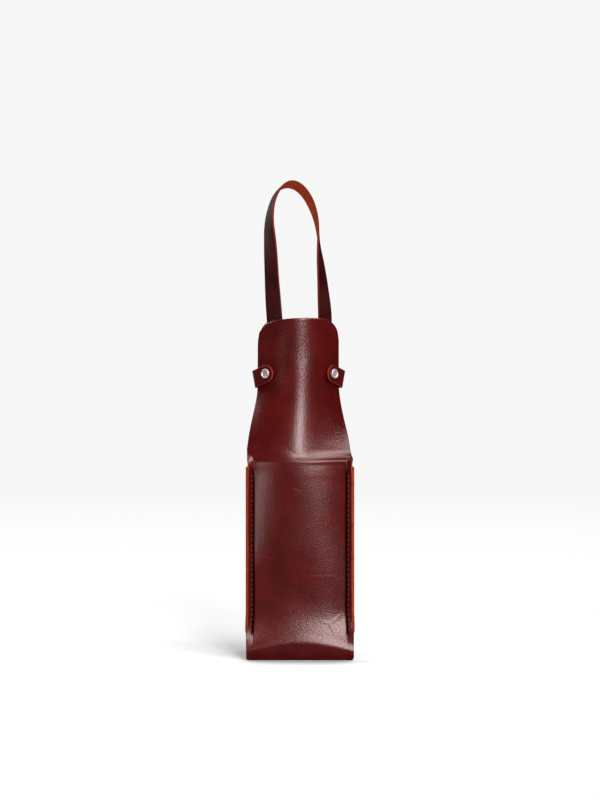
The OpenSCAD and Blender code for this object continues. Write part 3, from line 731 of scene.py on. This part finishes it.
def gusset_line(z):
    """The middle line of a right gusset's section at height z, from its front to its back tip."""
    m = np.radians(float(margin_angle(z)))
    g = section(z, np.array([float(core_half(z))]), np.array([0.0]))[0]
    into, out = np.array([math.sin(m), math.cos(m)]), np.array([math.cos(m), -math.sin(m)])
    line = g + into * (LEATHER + GLUE * 0.35 + LEATHER / 2)
    t = min(1.0, max(0.0, (z - SEAM_LOW + 1) / 4))
    reach = (MARGIN - 0.2) * math.sqrt(1 - (1 - t) ** 2) + 0.4
    y = float(ridge_y(z))
    bow = BOW * float(belly_share(z))
    root = np.array([line[0] + WALL_IN, line[1] + WALL_START])
    front = [line + out * reach, line + out * TIP_START, root]
    wall = [np.array([root[0] - 4 * bow * k * (1 - k), mix(root[1], y, 2 * k)])
            for k in WALL_SHARES]
    half = [q - [0, y] for q in front + wall]
    return rounded(half + [q * [1, -1] for q in half[-2::-1]],
                   radius=2.2, steps=7, share=0.48)


def build_gusset(side, name):
    rings = []
    for z in np.concatenate([np.linspace(2.6, SEAM_LOW + 4, 18),
                             np.linspace(SEAM_LOW + 4, GUSSET_TOP, 84)[1:]]):
        c = gusset_line(z)
        t = unit(np.gradient(c, axis=0))
        n = np.stack([t[:, 1], -t[:, 0]], -1)
        s = lengths_along(c)
        fade = smooth(s / RIPPLE_FADE) * smooth((s[-1] - s) / RIPPLE_FADE)
        c = c + n * (RIPPLE * np.sin(s / RIPPLE_ALONG + z / RIPPLE_UP) * fade)[:, None]
        flesh, grain = c - n * LEATHER / 2, c + n * LEATHER / 2
        ring = np.concatenate([flesh, cut_edge(flesh[-1], grain[-1], t[-1], TIP_LIFT),
                               grain[::-1], cut_edge(grain[0], flesh[0], -t[0], TIP_LIFT)])
        rings.append(np.stack([side * ring[:, 0], ring[:, 1], np.full(len(ring), z)], -1))
    rings = np.array(rings if side > 0 else rings[::-1])
    v, f, m = loft(rings, band_mats(len(c), 1, 0), (2, 2))
    # the foot, turned in on the base
    line = gusset_line(3.0)
    wall_x = abs(line[len(line) // 2][0])
    x0, x1 = side * (wall_x - FOOT), side * (wall_x + FOOT_SIDE)
    y = POUCH_D / 2 - FOLD_R - FOOT_SIDE
    foot = np.array([[x0, -y, FOOT_LOW], [x1, -y, FOOT_LOW], [x1, y, FOOT_LOW], [x0, y, FOOT_LOW]])
    foot = np.concatenate([foot, foot + [0, 0, LEATHER]])
    faces = [[0, 3, 2, 1], [4, 5, 6, 7], [0, 1, 5, 4], [1, 2, 6, 5], [2, 3, 7, 6], [3, 0, 4, 7]]
    v, f = joined([(v, f), (foot, faces)])
    o = mesh(name, v, f, BAND, list(m) + [1, 1, 2, 2, 2, 2])
    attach(o, "carrier")
    return o


for side, word in SIDES:
    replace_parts(build_gusset(side, word + "_gusset_leather"), word + "_gusset")


# Seams: waxed stitches that dive into the margin
STITCH_HIGH, STITCH_DIVE = 0.30, 0.75  # above the leather in its middle, and down to its ends
SHIFT_MOST, LEAN_MOST = 0.12, 0.16


def build_seam(side, face, name, cad_node):
    first = SEAM_LOW + PITCH
    count = int((GUSSET_TOP - PITCH - first) // PITCH)
    t = np.linspace(-1, 1, 9)
    lift = STITCH_HIGH - STITCH_DIVE * np.abs(t) ** 3
    parts = []
    for k in range(count + 1):
        z = first + k * PITCH
        u = side * (float(core_half(z)) + STITCH_IN + rng.uniform(-SHIFT_MOST, SHIFT_MOST))
        lean = rng.uniform(-LEAN_MOST, LEAN_MOST)
        pts = panel(face, z + t * STITCH * 0.5, u + lean * t, -lift)
        parts.append(tube(pts, THREAD / 2 * (1 - 0.25 * np.abs(t) ** 4)))
    v, f = joined(parts)
    o = mesh(name, v, f, [WAXED])
    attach(o, "carrier")
    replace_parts(o, cad_node)


for side, word in SIDES:
    for face, where in FACES:
        build_seam(side, face, f"{word}_{where}_thread", f"{word}_{where}_seam")

# Tabs: each bends out of the back flap's edge
NECK_R = float(core_half(NECK_Z)) * 180 / (math.pi * NECK_ANGLE)
STAND_OFF = METAL_GAP + FLANGE + METAL_GAP * 2 + SOCKET_H + LEATHER / 2
STUD_RAD, RISE_RAD = math.radians(STUD_ANGLE), math.radians(TAB_RISE)
STUD_OUT = np.array([math.sin(STUD_RAD), -math.cos(STUD_RAD), 0])
STUD_SEAT = np.array([NECK_R * math.sin(STUD_RAD),
                      NECK_R * (1 - math.cos(STUD_RAD)) - NECK_D / 2, STUD_Z])
TAB_PLACE = STUD_SEAT + STUD_OUT * STAND_OFF
LEVEL_ALONG = np.array([math.cos(STUD_RAD), math.sin(STUD_RAD), 0])
TAB_ALONG = LEVEL_ALONG * math.cos(RISE_RAD) - [0, 0, math.sin(RISE_RAD)]
TAB_UP = LEVEL_ALONG * math.sin(RISE_RAD) + [0, 0, math.cos(RISE_RAD)]
BEND_END = TAB_REACH - 5.5  # along the tab from the stud to where its bend starts
BEND_IN, BEND_OUT = 6.5, 7.2  # how far the bend keeps the ear's and the tab's direction
CAP_PROFILE = [(0.02, 0.62), (1.5, 0.60), (2.6, 0.50), (3.25, 0.72), (3.75, CAP_H), (4.4, CAP_H),
               (SNAP_D / 2, 0.75), (SNAP_D / 2, 0.0)]


def on_side(p, side):
    return moved(np.asarray(p, float) * [side, 1, 1], np.ones(np.shape(p)[:-1]))


def turn_dir(d, side):
    return turned(np.asarray(d, float) * [side, 1, 1], NECK_TURN)


def build_tab(side, word):
    """One band from the back flap's edge round the fold to the tab's round end."""
    a = math.radians(NECK_ANGLE)
    edge = section(NECK_Z, np.array([NECK_W / 2 - 0.4]), np.array([LEATHER / 2]))[0]
    ear_start = np.array([edge[0], NECK_D / 2 - edge[1], STUD_Z - TAB_REACH * math.sin(RISE_RAD)])
    bend_end = TAB_PLACE + TAB_ALONG * BEND_END
    p1 = ear_start + np.array([math.cos(a), -math.sin(a), 0]) * BEND_IN
    p2 = bend_end + TAB_ALONG * BEND_OUT
    t = np.linspace(0, 1, 34)[:, None]
    bend = (ear_start * (1 - t) ** 3 + p1 * 3 * t * (1 - t) ** 2
            + p2 * 3 * t * t * (1 - t) + bend_end * t ** 3)
    w = smooth(t)
    up_bend = unit(np.array([0, 0, 1.0]) * (1 - w) + TAB_UP * w)
    tip = -TAB_END_R * np.sin(np.linspace(0, math.pi / 2, 22))[1:]
    straight = np.concatenate([np.linspace(BEND_END, 0, 10)[1:], tip])
    centre = np.concatenate([bend, TAB_PLACE + TAB_ALONG * straight[:, None]])
    up = np.concatenate([up_bend, np.tile(TAB_UP, (len(straight), 1))])
    wide = mix(TAB_END_R, TAB_W / 2, np.clip(straight / 10, 0, 1))
    round_end = np.sqrt(np.maximum(0.02, TAB_END_R ** 2 - np.minimum(0, straight) ** 2))
    half = np.concatenate([np.full(len(bend), TAB_W / 2), np.where(straight > 0, wide, round_end)])
    along = unit(np.gradient(centre, axis=0))
    up = square_to(up, along)
    # the band runs forwards and inwards, so that its outside is up x along
    out = unit(np.cross(up, along))
    out *= np.sign(np.sum(out[-1] * STUD_OUT))
    v = np.concatenate([np.linspace(-1, -0.86, 4), np.linspace(-0.86, 0.86, 17)[1:-1],
                        np.linspace(0.86, 1, 4)])
    rings = []
    for k in range(len(centre)):
        grain = centre[k] + up[k] * half[k] * v[:, None] + out[k] * (LEATHER / 2)
        flesh = grain - out[k] * LEATHER
        rings.append(np.concatenate([grain, cut_edge(grain[-1], flesh[-1], up[k]),
                                     flesh[::-1], cut_edge(flesh[0], grain[0], -up[k])]))
    rings = on_side(np.array(rings if side > 0 else rings[::-1]), side)
    verts, faces, m = loft(rings, band_mats(len(v)), (2, 2))
    m = np.array(m)
    loop = rings.shape[1]
    last = (len(rings) - 2) * loop if side > 0 else 0
    m[last:last + loop] = 2
    o = mesh(word + "_tab_leather", verts, faces, BAND, m)
    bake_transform(o)
    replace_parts(o, word + "_tab", word + "_ear")
    # the ringed cap of the press stud
    cap_v, cap_f = lathe(rounded(CAP_PROFILE, radius=0.35, steps=4, share=0.45))
    seat = on_side(TAB_PLACE + STUD_OUT * (LEATHER / 2 + METAL_GAP), side)
    x, y, z = (turn_dir(d, side) for d in (TAB_ALONG, TAB_UP, STUD_OUT))
    cap = mesh(word + "_cap", in_frame(cap_v, seat, x, y, z),
               [q[::-1] for q in cap_f] if side < 0 else cap_f, [NICKEL])
    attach(cap, word + "_tab_body")
    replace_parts(cap, word + "_snap_cap")


for side, word in SIDES:
    build_tab(side, word)

# The strap
SWING = moved(np.array([SWING_X, SWING_Y, SWING_Z]), np.ones(()))
LEAN = math.degrees(math.atan(2 * LOOP_BACK / (TOP_Z - SWING_Z)))
LOOP_H = TOP_Z - SWING_Z - STRAP_W / 2 * math.sin(math.radians(LEAN))
LEG_H = LOOP_H - ARCH_H
# share of a quarter turn by which the strap's grain faces out of the loop, against height
TWIST_H = [0, 0.4, 0.62, 0.84, 2]
TWIST = [0.4, 0.64, 0.83, 1, 1]
PLATE_H = RIVET_PITCH + 2 * RIVET_D
RIVET_HALF = float(core_half(RIVET_Z))
BACK_R = RIVET_HALF * 180 / math.pi / float(core_angle(RIVET_Z)) - LEATHER
PLATE_OFF = STRAP_T / 2 + STRAP_W ** 2 / 8 / BACK_R + SKIN_GAP


def rivet(side):
    """Seat on the back panel's flesh side, its outward normal and its upward direction."""
    def at(z, u, depth):
        return panel(1, z, np.array([u]), np.array([depth]))[0]

    chord = section(RIVET_Z, np.array([RIVET_HALF]), np.array([0.0]))[0][0]
    u = side * RIVET_SPAN / 2 * RIVET_HALF / chord
    p = at(RIVET_Z, u, 0.0)
    n = unit(np.cross(at(RIVET_Z, u + 1, 0.0) - p, at(RIVET_Z + 1, u, 0.0) - p))
    n = n if n[1] > 0 else -n
    return at(RIVET_Z, u, LEATHER), n, square_to(np.array([0, 0, 1.0]), n)


def loop_yaw(h):
    return np.radians(SWING_TURN + LOOP_TURN * smooth(h / LEG_H))


def loop_at(x, h):
    """Points of the leaning, turned loop, x across it and h above the swing line."""
    x, h = np.broadcast_arrays(np.asarray(x, float), np.asarray(h, float))
    t = h / LOOP_H
    spine = SWING + np.stack([-LOOP_SIDE * t, LOOP_BACK * t * t, h], -1)
    a = loop_yaw(h)
    return spine + np.stack([x * np.cos(a), x * np.sin(a), 0 * x], -1)


def loop_ahead(h):
    a = loop_yaw(h)
    return np.stack([np.sin(a), -np.cos(a), 0 * a], -1)


def twist_at(h):
    return np.radians(90 * np.interp(h / LOOP_H, TWIST_H, TWIST))[:, None]


def strap_leg(side):
    """Centre points and grain directions from the strap's lower end up to the arch."""
    seat, out, up = rivet(side)
    top = seat - out * PLATE_OFF + up * PLATE_H / 2
    low = top - up * PLATE_H
    plate = low + (top - low) * np.linspace(0, 1, 18)[:-1, None]
    p1 = loop_at(side * LEG_SPAN / 2, 0.0)
    reach = np.linalg.norm(p1 - top)
    d1 = (loop_at(side * LEG_SPAN / 2, 1.0) - p1) * reach
    t = np.linspace(0, 1, 60)[:, None]
    free = (top * (t * t * (2 * t - 3) + 1) + up * reach * t * (1 - t) ** 2
            + p1 * t * t * (3 - 2 * t) + d1 * t * t * (t - 1))
    h = np.linspace(0, LEG_H, 44)[1:]
    line = np.concatenate([plate, free, loop_at(side * LEG_SPAN / 2, h)])
    tan = unit(np.gradient(line, axis=0))
    heights = np.concatenate([np.zeros(len(plate) + len(free)), h])
    ahead = square_to(loop_ahead(heights), tan)
    aside = unit(np.cross(ahead, tan))
    aside *= np.sign(aside[:, :1] * side)
    twist = twist_at(heights)
    grain = ahead * np.cos(twist) + aside * np.sin(twist)
    w = np.concatenate([np.zeros(len(plate)), smooth(t[:, 0]), np.ones(len(h))])[:, None]
    return line, unit(-out * (1 - w) + grain * w)


def strap_line():
    """Centre points and grain directions from the left plate over the loop to the right one."""
    left, left_grain = strap_leg(-1)
    right, right_grain = strap_leg(1)
    a = np.radians(np.linspace(0, 180, 110)[1:-1])
    h = LEG_H + ARCH_H * np.sin(a)
    arch = loop_at(-LEG_SPAN / 2 * np.cos(a), h)
    tan = unit(np.gradient(arch, axis=0))
    radial = square_to(arch - loop_at(0.0, LEG_H), tan)
    ahead = loop_ahead(h)
    ahead = square_to(ahead - radial * np.sum(ahead * radial, -1, keepdims=True), tan)
    twist = twist_at(h)
    arch_grain = unit(ahead * np.cos(twist) + radial * np.sin(twist))
    grain = np.concatenate([left_grain, arch_grain, right_grain[::-1]])
    # even out the turns of the grain direction
    k = np.exp(-np.linspace(-2, 2, 17) ** 2)
    k /= k.sum()
    padded = np.pad(grain, ((8, 8), (0, 0)), mode="edge")
    grain = np.stack([np.convolve(padded[:, q], k, "valid") for q in range(3)], -1)
    return np.concatenate([left, arch, right[::-1]]), unit(grain)


CUP, SET_IN = 0.35, 0.2  # the strap's crown across its width, and how far its edges lie back
RIPPLE_H, RIPPLE_LEN, BENT_TONE, BENT_LEN = 0.12, 9, 0.25, 7
FREE_START, FREE_FADE = 20, 40  # past the riveted plate


def build_strap():
    line, grain = strap_line()
    tan = unit(np.gradient(line, axis=0))
    grain = square_to(grain, tan)
    across = np.cross(tan, grain)
    v = np.concatenate([np.linspace(-1, -0.88, 4), np.linspace(-0.88, 0.88, 15)[1:-1],
                        np.linspace(0.88, 1, 4)])
    s = lengths_along(line)
    start, end = s - PLATE_H - FREE_START, s[-1] - s - PLATE_H - FREE_START
    free = smooth(start / FREE_FADE) * smooth(end / FREE_FADE)
    rings = []
    for k in range(len(line)):
        ripple = RIPPLE_H * free[k] * np.sin(s[k] / RIPPLE_LEN + 2 * v)
        cup = CUP * free[k] * (1 - v ** 2) + ripple
        out = grain[k] * (STRAP_T / 2 + cup[:, None] - SET_IN * free[k])
        g = line[k] + across[k] * STRAP_W / 2 * v[:, None] + out
        flesh = g - grain[k] * STRAP_T
        rings.append(np.concatenate([g, cut_edge(g[-1], flesh[-1], across[k]),
                                     flesh[::-1], cut_edge(flesh[0], g[0], -across[k])]))
    verts, faces, m = loft(np.array(rings), band_mats(len(v)), (2, 2))
    o = mesh("strap_leather", verts, [q[::-1] for q in faces], [STRAP_GRAIN, FLESH, STRAP_EDGE], m)
    bent = np.zeros((len(rings), len(rings[0])))
    bent[:, :len(v)] = (BENT_TONE * (0.5 + 0.5 * np.sin(s / BENT_LEN)) * free)[:, None]
    attribute(o, "crease", bent)
    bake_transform(o)
    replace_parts(o, "handle_loop", "handle_left_leg", "handle_right_leg")


build_strap()

# Rivets and the plain CAD metal
DOME = rounded([(0.02, RIVET_H), (1.6, RIVET_H * 0.93), (3.0, RIVET_H * 0.66),
                (RIVET_D / 2, RIVET_H * 0.25), (RIVET_D / 2, 0)], radius=0.5, steps=4, share=0.45)
HEAD_LIFT = 0.15
dome_v, dome_f = lathe(DOME, 48)
for side, word in SIDES:
    seat, out, up = rivet(side)
    x = np.cross(up, out)
    head_at, cap_at = seat + out * (LEATHER + HEAD_LIFT), seat - out * (PLATE_OFF + STRAP_T / 2)
    steps = [up * s * RIVET_PITCH / 2 for s in (-1, 1)]
    heads = [(in_frame(dome_v, head_at + step, x, up, out), dome_f) for step in steps]
    caps = [(in_frame(dome_v, cap_at + step, x, -up, -out), dome_f) for step in steps]
    for parts, what in ((heads, "heads"), (caps, "caps")):
        v, f = joined(parts)
        o = mesh(f"{word}_rivet_{what}_domed", v, f, [NICKEL])
        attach(o, "carrier")
        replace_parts(o, f"{word}_rivet_{what}")
    for what in ("snap_socket", "snap_stud", "snap_post"):
        cad_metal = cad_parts[f"{word}_{what}"]
        cad_metal.data.materials.clear()
        cad_metal.data.materials.append(NICKEL)

# Camera, floor and light, in metres
LENS, SENSOR = 85, 36
CAMERA_AWAY, CAMERA_HIGH = 1.905, 0.2573
scene = bpy.context.scene
cam = bpy.data.objects.new("camera", bpy.data.cameras.new("camera"))
scene.collection.objects.link(cam)
cam.data.lens, cam.data.sensor_width = LENS, SENSOR
cam.location = (0, -CAMERA_AWAY, CAMERA_HIGH)
cam.rotation_euler = (math.pi / 2, 0, 0)
scene.camera = cam

BACKDROP, FLOOR_TONE, CONTACT_DARK, CONTACT_REACH = 0.925, 0.86, 0.14, 0.06
FILL, REFLECTED_FLOOR, REFLECTED_WORLD = 0.5, 0.03, 0.012
OPEN_RANGE, FRONT_RANGE = (0.5, 0.97), (-0.035, -0.045)
LIT_CENTRE, LIT_RANGE, GLOW_RANGE, FLOOR_SIZE = (0.08, -0.06, 0), (0.16, 0.6), (0.9, 3.6), 30


def fade(t, value, span, low, high, interpolation="SMOOTHSTEP"):
    inputs = {"From Min": span[0], "From Max": span[1], "To Min": low, "To Max": high,
              "Value": value}
    return node(t, "MapRange", inputs, interpolation_type=interpolation).outputs[0]


floor_mat = bpy.data.materials.new("floor")
ft = empty_tree(floor_mat)
place = node(ft, "TexCoord").outputs["Object"]
# the soft contact shadow in front of the base, which the strong front lamps would wash out
near = node(ft, "AmbientOcclusion", {"Distance": CONTACT_REACH}, samples=12).outputs["AO"]
contact = fade(ft, near, OPEN_RANGE, CONTACT_DARK, FLOOR_TONE, "LINEAR")
place_y = node(ft, "SeparateXYZ", {0: place}).outputs["Y"]
in_front = fade(ft, place_y, FRONT_RANGE, 0, 1, "LINEAR")
tone = node(ft, "Mix", {0: in_front, 2: FLOOR_TONE, 3: contact}).outputs[0]
# the floor is lit near the object, and away from it it shines by itself as the backdrop does
aside = node(ft, "VectorMath", {0: place, 1: LIT_CENTRE}).outputs[0]
away = node(ft, "VectorMath", {0: aside}, operation="LENGTH").outputs["Value"]
lit = node(ft, "BsdfDiffuse", {0: tone}).outputs[0]
glow = fade(ft, away, GLOW_RANGE, 1.0, BACKDROP)
shining = node(ft, "Emission", {0: (*grey(1), 1), 1: glow}).outputs[0]
outer = fade(ft, away, LIT_RANGE, 0, 1)
bright = node(ft, "MixShader", {0: outer, 1: lit, 2: shining}).outputs[0]
dim = node(ft, "Emission", {0: (*grey(REFLECTED_FLOOR), 1)}).outputs[0]
glossy = node(ft, "LightPath").outputs["Is Glossy Ray"]
surface = node(ft, "MixShader", {0: glossy, 1: bright, 2: dim}).outputs[0]
node(ft, "OutputMaterial", {0: surface})
bpy.ops.mesh.primitive_plane_add(size=FLOOR_SIZE, location=(0, 0, 0))
floor = bpy.context.object
floor.name = "floor"
floor.data.materials.append(floor_mat)
# found only by the rays that hit it, so that reflections see its dark side and not its white one
floor_mat.cycles.emission_sampling = "NONE"

world = bpy.data.worlds.new("studio")
scene.world = world
world.cycles.sampling_method = "NONE"
wt = empty_tree(world)


def background(tone, strength=1.0):
    return node(wt, "Background", {0: (*grey(tone), 1), 1: strength}).outputs[0]


path = node(wt, "LightPath")
unseen = node(wt, "MixShader", {0: path.outputs["Is Glossy Ray"], 1: background(1, FILL),
                                2: background(REFLECTED_WORLD)}).outputs[0]
sky = node(wt, "MixShader", {0: path.outputs["Is Camera Ray"], 1: unseen, 2: background(BACKDROP)})
node(wt, "OutputWorld", {0: sky.outputs[0]})


def area_light(name, azimuth, elevation, distance, width, height, power, at=(0, 0, 0.22)):
    """Azimuth is measured from the camera's side towards the right."""
    a, e = math.radians(azimuth), math.radians(elevation)
    data = bpy.data.lights.new(name, "AREA")
    data.shape, data.size, data.size_y, data.energy = "RECTANGLE", width, height, power
    o = bpy.data.objects.new(name, data)
    scene.collection.objects.link(o)
    back = Vector((math.sin(a) * math.cos(e), -math.cos(a) * math.cos(e), math.sin(e)))
    o.location = Vector(at) + back * distance
    o.rotation_mode = "QUATERNION"
    o.rotation_quaternion = back.to_track_quat("Z", "Y")
    return o


lights = [
    area_light("front_box", 15, 23, 2.2, 0.5, 1.4, 34),
    area_light("key", 50, 50, 1.9, 1.2, 0.9, 21),
    area_light("left_low", -41, -11, 0.68, 0.11, 0.16, 0.34),
    area_light("right_low", 13, -5, 1.1, 0.22, 0.22, 0.42),
    area_light("left_rim", -148, 10, 1.5, 0.8, 1.0, 0.8),
    area_light("strap_rim", -108, 30, 1.2, 0.5, 0.5, 4, at=(-0.03, 0, 0.43)),
    area_light("top", 20, 82, 1.8, 1.0, 1.0, 8),
]
scene.view_settings.view_transform = "Standard"

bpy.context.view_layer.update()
